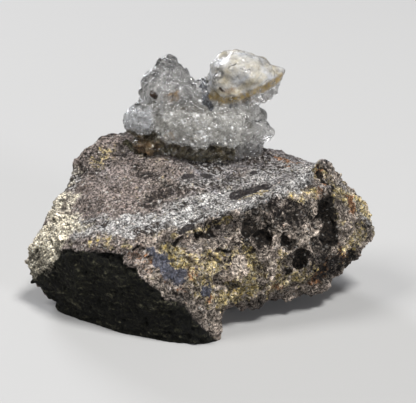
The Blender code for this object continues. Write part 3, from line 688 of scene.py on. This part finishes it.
def growOpal(rock):
    shape, zone = opalShape, opalZones
    opal = copyOfNode("hyalite_opal", "hyalite_crust")
    applyModifier(opal, "REMESH", mode="VOXEL", voxel_size=2 * shape["voxel"] * mm)
    settle(opal, rock, shape["sunk"])
    applyModifier(opal, "REMESH", mode="VOXEL", voxel_size=shape["voxel"] * mm)
    applyModifier(opal, "SMOOTH", factor=0.5, iterations=shape["smoothing"])
    blowBubbles(opal)
    points, normals = pointsOf(opal)
    x, y, z = points.T

    rim = shape["rimHeight"] + shape["rimSlope"] * (x - shape["rimStart"])
    rim = rim + eachPoint(points, lambda p: noise.noise(p / 2.5)) * 1.2
    knob = smoothStep(x, *zone["knobSide"]) * smoothStep(z, *zone["knobFoot"])
    dome = knob * smoothStep(z - rim, *zone["dome"])
    warm = dome * (1 - smoothStep(z - rim, *zone["warmEnd"])) * (1 - 0.7 * smoothStep(x, *zone["tip"]))
    flank = knob * (1 - dome)
    clear = smoothStep(x, *zone["clearSide"]) * (1 - smoothStep(z, *zone["clearTop"]))
    lobe = smoothStep(-x, *zone["lobeSide"]) * smoothStep(z, *zone["lobeFoot"])
    lobe = lobe * (1 - smoothStep(z, *zone["lobeTop"]))
    padTop = shape["padHeight"] + shape["padRise"] * (1 - smoothStep(x, *zone["padLeft"]))
    padTop = padTop + eachPoint(points, lambda p: noise.noise(p / 2.2))
    pad = (1 - smoothStep(z - padTop, *zone["padTop"])) * (1 - clear)
    pad = pad * (1 - smoothStep(x, *zone["padEnd"]))
    skirt = (1 - smoothStep(z, *zone["skirtTop"])) * (1 - pad) * (1 - lobe) * (1 - clear)
    tower = 1 - np.clip(dome + flank + clear + lobe + skirt + pad, 0, 1)
    drift = eachPoint(points, lambda p: wander(p, (1.3, 0.5), (0.5, 0.25)))
    masks = {name: markMask(points + drift, marks) for name, marks in opalMarks.items()}
    masks["amber"] = bandMask(points + 0.4 * drift, knobRim, 1.0)
    masks.update(dome=dome, warm=warm, flank=flank, skirt=skirt, lobe=lobe, pad=pad, tower=tower)

    size = {name[:-4]: value for name, value in shape.items() if name.endswith("Size")}
    beads, pearls, frost, lumps = [
        eachPoint(points, lambda p: bead(p, size[name])) - roundMean
        for name in ("bead", "pearl", "frost", "lump")
    ]
    sugar = eachPoint(points, lambda p: facet(p, size["sugar"])) - flatMean
    facets = eachPoint(points, lambda p: facet(p + wander(p, (3, 0.8)), size["facet"])) - flatMean
    swell = eachPoint(points, lambda p: noise.noise(p / size["swell"]))
    wobble = eachPoint(points, lambda p: noise.noise(p / size["wobble"]))
    relief = shape["bead"] * beads * np.clip(tower + 0.7 * pad + 0.2 * skirt, 0, 1)
    relief += shape["pearl"] * pearls * np.clip(tower + 0.5 * pad + 0.5 * skirt + 0.5 * lobe, 0, 1)
    relief += shape["sugar"] * sugar * np.clip(skirt + 0.7 * pad + 0.2 * tower, 0, 1)
    relief += shape["facet"] * facets * np.clip(flank + 0.42 * dome + 0.4 * skirt, 0, 1)
    relief += shape["frost"] * frost * np.clip(1.5 * lobe + 0.5 * skirt + 0.15 * dome, 0, 1.5)
    relief += shape["lump"] * lumps * clear
    relief += shape["swell"] * swell * dome + shape["wobble"] * wobble
    relief = np.clip(relief, shape["least"], shape["most"] + shape["domeMost"] * dome)
    relief -= shape["seam"] * masks.pop("seam")
    placePoints(opal, points + normals * relief[:, None])
    masks["relief"] = relief
    for name, values in masks.items():
        storeMask(opal, name, values)
    opal.data.shade_smooth()
    print("opal:", sum(len(p.vertices) - 2 for p in opal.data.polygons), "triangles")
    return opal


def blowBubbles(opal):
    # what lies inside a bubble moves out to its skin
    points, normals = pointsOf(opal)
    for centre, radius in bubbles:
        away = points - np.array(centre)
        distance = np.linalg.norm(away, axis=1)
        inside = (distance < radius) & (distance > 0.1)
        points[inside] += away[inside] * (0.92 * (radius / distance[inside] - 1))[:, None]
    placePoints(opal, points)


def settle(opal, rock, depth):
    # the underside goes a little into the rock, so that no air shows between them
    graph = bpy.context.evaluated_depsgraph_get()
    tree = BVHTree.FromObject(rock, graph)
    points, normals = pointsOf(opal)
    moved = []
    for point, facing in zip(points.tolist(), normals.tolist()):
        here = Vector(point) * mm
        nearest, normal, index, distance = tree.find_nearest(here)
        below = 1 if (here - nearest).dot(normal) > 0 else -1
        height = below * distance / mm
        towards = min(1, max(0, (1.1 - height) / 0.4)) * min(1, max(0, 0.4 - Vector(facing).dot(normal)))
        moved.append((here - normal * (height + depth) * towards * mm) / mm)
    placePoints(opal, np.array(moved))


opalLook = {
    "glass": "#f7f6f4", "milk": "#eceef2", "cream": "#ece0c4", "frost": "#f7f5ee", "iced": "#e3e5e8",
    "glint": "#ffffff", "grey": "#a3a3a6", "smoke": "#474c57", "amber": "#b5985a",
    "tan": "#a3845f", "brown": "#3c2c20", "pad": "#857a60", "padDarkAndShade": "#545042",
    "haze": (0.03, 0.22), "thin": (0.6, 1.25),  # share of light that clear glass scatters, and its swing
    "roughness": (0.03, 0.13), "frosted": 0.05,
    "ior": 1.45, "coat": 0.4, "coatRoughness": 0.03, "tint": "#dad8d3", "tintDensity": 88,
    "pebbleSize": 0.45, "bump": 0.6, "bumpHeight": 0.10,  # mm, strength, mm
}
opalBodies = [
    # mask, colour, low, high, share of the light it scatters, patch size in mm
    ("tower", "grey", 1.08, 1.46, 0.06, 1.0),
    # painted highlights: the white glint patches on the flank, the skirt and the tower
    ("flank", "glint", 1.30, 1.38, 0.80, 0.8),
    ("lobe", "iced", 0.75, 1.35, 0.36, 0.8),
    ("skirt", "frost", 0.80, 1.3, 0.38, 1.1),
    ("skirt", "glint", 1.38, 1.45, 0.70, 0.9),
    ("tower", "glint", 1.41, 1.47, 0.55, 0.9),
    ("pad", "pad", 0.75, 1.25, 0.55, 1.2),
    # the pad's darker patches: its own brown, deepened with painted shade under the skirt
    ("pad", "padDarkAndShade", 1.15, 1.4, 0.60, 1.7),
    ("dome", "milk", 0.55, 1.0, 0.66, 2.4),
    ("dome", "cream", 1.05, 1.5, 0.54, 3.4),
    ("dome", "grey", 1.40, 1.6, 0.25, 1.5),
    ("warm", "cream", 0.55, 1.3, 0.66, 1.7),
    ("smoke", "smoke", 0.80, 1.2, 0.25, 0.8),
    ("tan", "tan", 0.80, 1.2, 0.50, 1.1),
    ("amber", "amber", 0.62, 1.35, 0.58, 0.9),
    ("brown", "brown", 0.8, 1.1, 0.90, 0.5),
]
# size in mm, detail
opalClouds = {"haze": (1.3, 4), "thin": (0.9, 4), "smear": (0.6, 4), "skin": (0.5, 3)}


def makeHyalite():
    # hyalite: clear, glassy opal, frosted where it is finely beaded and milky where it is dense
    look = opalLook
    material, tree, shader = newMaterial("hyalite glass")
    place = addNode(tree, "TexCoord", output="Object")
    maskOf = {
        name: addNode(tree, "Attribute", output="Fac", attribute_name=name)
        for name in ["relief"] + sorted({body[0] for body in opalBodies})
    }
    sizes = dict(opalClouds)
    sizes.update({body[5]: (body[5], 5) for body in opalBodies})
    cloud = {}
    for name, (size, detail) in sizes.items():
        inputs = {"Vector": place, "Scale": perMm(size), "Detail": detail, "Roughness": 0.6}
        cloud[name] = addNode(tree, "MapRange", (addNode(tree, "TexNoise", inputs), *noiseSpan))

    colour = linear(look["glass"])
    haze = addNode(tree, "MapRange", (cloud["haze"], 0.2, 0.9, *look["haze"]))
    for name, tone, low, high, share, size in opalBodies:
        reach = addNode(tree, "Math", (cloud[size], 0.5, maskOf[name]), operation="MULTIPLY_ADD")
        cover = addNode(tree, "MapRange", (reach, low, high))
        inputs = {0: cover, 6: colour, 7: linear(look[tone])}
        colour = addNode(tree, "Mix", inputs, 2, data_type="RGBA")
        haze = addNode(tree, "Mix", {0: cover, 2: haze, 3: share})
    thin = addNode(tree, "MapRange", (cloud["thin"], 0.0, 1.0, *look["thin"]))
    haze = addNode(tree, "Math", (haze, thin), operation="MULTIPLY")
    # painted shade in the creases between beads, deepest on the pad under the skirt
    creaseShade = addNode(tree, "MapRange", (maskOf["pad"], 0.0, 1.0, 0.7, 0.25))
    depth = addNode(tree, "MapRange", (maskOf["relief"], -0.3, 0.05, creaseShade, 1.0))
    colour = addNode(tree, "Mix", {0: 1.0, 6: colour, 7: depth}, 2, data_type="RGBA", blend_type="MULTIPLY")
    tree.links.new(colour, shader.inputs["Base Color"])
    passed = addNode(tree, "Math", (1.0, haze), operation="SUBTRACT")
    tree.links.new(passed, shader.inputs["Transmission Weight"])
    frosted = addNode(tree, "Math", (maskOf["skirt"], maskOf["lobe"]), operation="MAXIMUM")
    smear = addNode(tree, "MapRange", (cloud["smear"], 0.3, 1.0, *look["roughness"]))
    rough = addNode(tree, "Math", (frosted, look["frosted"], smear), operation="MULTIPLY_ADD")
    tree.links.new(rough, shader.inputs["Roughness"])
    shader.inputs["IOR"].default_value = look["ior"]
    shader.inputs["Coat Weight"].default_value = look["coat"]
    shader.inputs["Coat Roughness"].default_value = look["coatRoughness"]

    pebbles = addNode(tree, "TexVoronoi", {"Vector": place, "Scale": perMm(look["pebbleSize"])}, "Distance")
    skin = addNode(tree, "Math", (cloud["skin"], pebbles), operation="SUBTRACT")
    calm = addNode(tree, "MapRange", (maskOf["dome"], 0.0, 1.0, 1.0, 0.8))
    skin = addNode(tree, "Math", (skin, calm), operation="MULTIPLY")
    inputs = {"Height": skin, "Strength": look["bump"], "Distance": look["bumpHeight"] * mm}
    bump = addNode(tree, "Bump", inputs)
    tree.links.new(bump, shader.inputs["Normal"])
    tree.links.new(bump, shader.inputs["Coat Normal"])

    # thick glass is a little darker and warmer than thin
    inputs = {"Color": linear(look["tint"]), "Density": look["tintDensity"]}
    tint = addNode(tree, "VolumeAbsorption", inputs)
    tree.links.new(tint, tree.nodes["Material Output"].inputs["Volume"])
    return material


# Floor, light and camera

stageLook = {
    "floor": "#bdbcba", "floorRoughness": 0.9, "floorSize": 9.0,
    "sky": "#bcc2ca", "skyStrength": 0.16,
}
lamps = {
    # place, size, power, colour
    "topSoftbox": ((0.48, -0.56, 1.88), 0.56, 34, "#ffffff"),
    "leftSoftbox": ((-1.20, -0.08, 1.60), 0.80, 17, "#ffffff"),
    "frontFill": ((1.36, -1.52, 0.64), 0.50, 13, "#f6f8ff"),
    "backFill": ((-0.90, 1.70, 0.90), 0.70, 20, "#f6f8ff"),
}
view = {"elevation": 20, "distance": 0.206, "lens": 100, "aim": (0.00099, -0.00004, 0.018423)}


def makeFloor():
    bm = bmesh.new()
    bmesh.ops.create_grid(bm, x_segments=1, y_segments=1, size=stageLook["floorSize"] / 2)
    mesh = bpy.data.meshes.new("studio_floor")
    bm.to_mesh(mesh)
    bm.free()
    floor = bpy.data.objects.new("studio_floor", mesh)
    bpy.context.scene.collection.objects.link(floor)
    # matt paper: plain card, with no sheen and no grain to see
    material, tree, shader = newMaterial("matt paper")
    shader.inputs["Base Color"].default_value = linear(stageLook["floor"])
    shader.inputs["Roughness"].default_value = stageLook["floorRoughness"]
    floor.data.materials.append(material)


def makeLight():
    world = bpy.data.worlds.new("studio")
    world.use_nodes = True
    sky = world.node_tree.nodes["Background"]
    sky.inputs["Color"].default_value = linear(stageLook["sky"])
    sky.inputs["Strength"].default_value = stageLook["skyStrength"]
    bpy.context.scene.world = world
    for name, (place, size, power, colour) in lamps.items():
        lamp = bpy.data.lights.new(name, "AREA")
        lamp.shape = "DISK"
        lamp.size = size
        lamp.energy = power
        lamp.color = linear(colour)[:3]
        lampObject = bpy.data.objects.new(name, lamp)
        lampObject.location = place
        beam = Vector(view["aim"]) - lampObject.location
        lampObject.rotation_euler = beam.to_track_quat("-Z", "Y").to_euler()
        bpy.context.scene.collection.objects.link(lampObject)


def makeCamera():
    camera = bpy.data.cameras.new("camera")
    camera.lens = view["lens"]
    camera.clip_start = 0.01
    tilt = math.radians(view["elevation"])
    back = Vector((0, -math.cos(tilt), math.sin(tilt)))
    cameraObject = bpy.data.objects.new("camera", camera)
    cameraObject.location = Vector(view["aim"]) + back * view["distance"]
    cameraObject.rotation_euler = (-back).to_track_quat("-Z", "Y").to_euler()
    bpy.context.scene.collection.objects.link(cameraObject)
    bpy.context.scene.camera = cameraObject


makeCamera()
makeLight()
makeFloor()
bpy.context.scene.view_settings.view_transform = "Standard"
print("studio ready")

rock = growRock()
rock.data.materials.clear()
rock.data.materials.append(makeTuff())
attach(rock, "root")
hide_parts("matrix_rock")

opal = growOpal(rock)
opal.data.materials.clear()
opal.data.materials.append(makeHyalite())
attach(opal, "root")
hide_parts("hyalite_opal")
